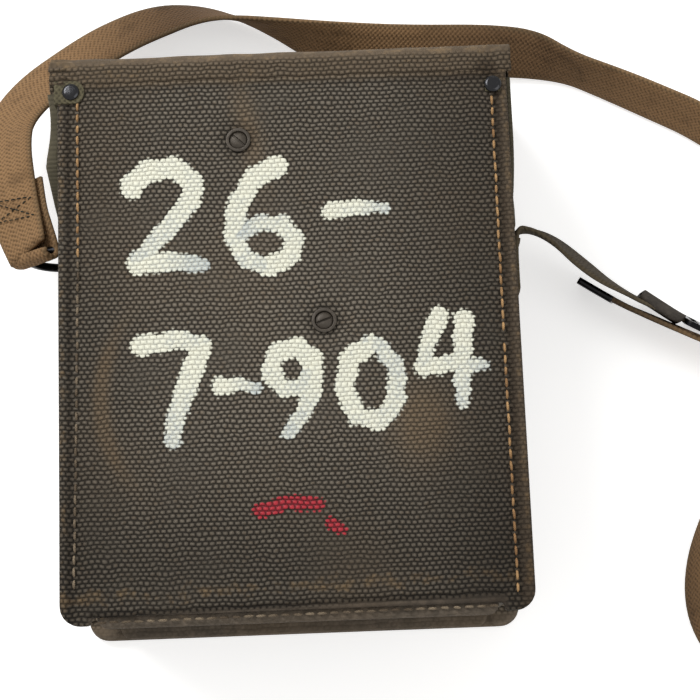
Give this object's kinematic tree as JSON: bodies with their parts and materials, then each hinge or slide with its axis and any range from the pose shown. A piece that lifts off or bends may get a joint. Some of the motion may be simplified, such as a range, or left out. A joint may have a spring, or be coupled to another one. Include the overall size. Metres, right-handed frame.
{
  "type": "field telephone",
  "caption": "Magneto field telephone in a stiff canvas case with a flap lid, side hand crank, two strap rings and a buckled shoulder strap, lying on its front.",
  "frame": {"origin": "on the surface the case lies on, under the middle of the case", "axes": "+X across the case towards the strap's buckle, +Y up the case towards the lid's folded edge, +Z out of the case's back"},
  "size_m": [0.4045, 0.3359, 0.0917],
  "materials": {
    "canvas": "stiff coarse dark canvas, waxed and worn",
    "olive_webbing": "ribbed olive cotton webbing",
    "tan_webbing": "flat tan cotton webbing, faded and stained",
    "dark_webbing": "dark olive cotton webbing",
    "blackened_steel": "blackened, rubbed at the edges",
    "black_wire": "glossy black enamel",
    "grey_enamel": "dull olive grey enamel",
    "black_laminate": "black fibre laminate",
    "moulding": "black phenolic moulding",
    "brass": "plain, a little tarnished",
    "plain_steel": "plain",
    "nickel": "nickel plate",
    "cast_iron": "plain soft iron",
    "magnet_steel": "red lacquered magnet steel",
    "enamelled_wire": "wire coil under varnished cloth tape",
    "card": "waxed card",
    "tin_can": "drawn can, dull",
    "leather": "grey-brown leather loop"
  },
  "bodies": {
    "case": {"back_panel": "canvas", "wall_strip": "canvas", "front_panel": "canvas", "corner_tabs": "olive_webbing", "corner_rivets": "blackened_steel", "cup_washers": "blackened_steel", "back_screws": "blackened_steel", "snap_stud": "blackened_steel", "ring_chapes": "olive_webbing", "chape_rivets": "blackened_steel", "chassis_frame": "grey_enamel", "deck_plate": "black_laminate", "crank_bush": "brass", "field_magnets": "magnet_steel", "pole_shoes": "cast_iron", "left_end_plate": "brass", "right_end_plate": "brass", "ringer_plate": "plain_steel", "ringer_pillars": "brass", "ringer_coils": "enamelled_wire", "ringer_yoke": "cast_iron", "clapper_bracket": "plain_steel", "gongs": "nickel", "gong_posts": "brass", "battery_tube": "card", "dry_cells": "card", "cell_spring": "plain_steel", "line_posts": "nickel", "coil_bobbin": "moulding", "coil_winding": "enamelled_wire", "capacitor": "tin_can", "shoulder_strap": "tan_webbing", "short_strap": "dark_webbing", "strap_tip": "blackened_steel", "buckle_frame": "black_wire", "strap_keeper": "leather"},
    "lid": {"lid_panel": "canvas", "lid_binding": "olive_webbing", "snap_cap": "blackened_steel"},
    "left_ring": {"left_ring": "black_wire"},
    "right_ring": {"right_ring": "black_wire"},
    "crank": {"crank_shaft": "plain_steel", "crank_gear": "brass", "crank_arm": "blackened_steel", "hub_nut": "blackened_steel", "grip_pin": "plain_steel"},
    "grip": {"crank_grip": "black_laminate"},
    "armature": {"armature_core": "plain_steel", "armature_winding": "enamelled_wire", "pinion": "plain_steel"},
    "clapper": {"clapper": "brass"},
    "handset": {"handset_handle": "moulding", "receiver_cap": "moulding", "transmitter_cap": "moulding", "sound_capsules": "tin_can"},
    "talk_bar": {"talk_bar": "moulding"},
    "left_push_cap": {"left_push_cap": "moulding"},
    "right_push_cap": {"right_push_cap": "moulding"},
    "switch": {"switch_screw": "nickel"},
    "battery_cap": {"battery_cap": "moulding"}
  },
  "joints": [
    {"name": "lid_hinge", "type": "hinge", "parent": "case", "child": "lid", "pos_m": [0, 0.11465, 0.0829], "axis": [1, 0, 0], "range_deg": [0, 120], "deforming": ["shoulder_strap"]},
    {"name": "left_ring_swing", "type": "hinge", "parent": "case", "child": "left_ring", "pos_m": [-0.0921, 0.044, 0.045], "axis": [0, 0, 1], "range_deg": [-15, 85], "deforming": ["shoulder_strap"]},
    {"name": "right_ring_swing", "type": "hinge", "parent": "case", "child": "right_ring", "pos_m": [0.0921, 0.044, 0.045], "axis": [0, 0, 1], "range_deg": [-6, 97], "deforming": ["short_strap"]},
    {"name": "crank_turn", "type": "hinge", "parent": "case", "child": "crank", "pos_m": [0, -0.045, 0.042], "axis": [1, 0, 0], "continuous": true},
    {"name": "armature_spin", "type": "hinge", "parent": "case", "child": "armature", "pos_m": [0, -0.0825, 0.042], "axis": [1, 0, 0], "continuous": true},
    {"name": "grip_fold", "type": "hinge", "parent": "crank", "child": "grip", "pos_m": [-0.0997, -0.08713, 0.00665], "axis": [0, -0.6428, 0.766], "range_deg": [0, 90]},
    {"name": "clapper_swing", "type": "hinge", "parent": "case", "child": "clapper", "pos_m": [-0.05, 0.042, 0.03], "axis": [0, 0, 1], "range_deg": [-1.7, 1.7], "stiffness_Nm_per_rad": 0.01},
    {"name": "handset_lift", "type": "slide", "parent": "case", "child": "handset", "axis": [0, 1, 0], "range_m": [0, 0.026]},
    {"name": "talk_press", "type": "slide", "parent": "handset", "child": "talk_bar", "axis": [0, 0, 1], "range_m": [0, 0.002], "stiffness_N_per_m": 500, "springref_m": -0.001},
    {"name": "left_cap_press", "type": "slide", "parent": "case", "child": "left_push_cap", "axis": [0, -1, 0], "range_m": [0, 0.0025], "stiffness_N_per_m": 600, "springref_m": -0.001},
    {"name": "right_cap_press", "type": "slide", "parent": "case", "child": "right_push_cap", "axis": [0, -1, 0], "range_m": [0, 0.0025], "stiffness_N_per_m": 600, "springref_m": -0.001},
    {"name": "switch_turn", "type": "hinge", "parent": "case", "child": "switch", "pos_m": [-0.014, 0.1, 0.062], "axis": [0, 1, 0], "range_deg": [0, 90]},
    {"name": "battery_cap_turn", "type": "hinge", "parent": "case", "child": "battery_cap", "pos_m": [0.0036, 0.1, 0.028], "axis": [0, 1, 0], "range_deg": [0, 60]}
  ],
  "couplings": [
    {"joint": "armature_spin", "follows": "crank_turn", "ratio": -4}
  ]
}
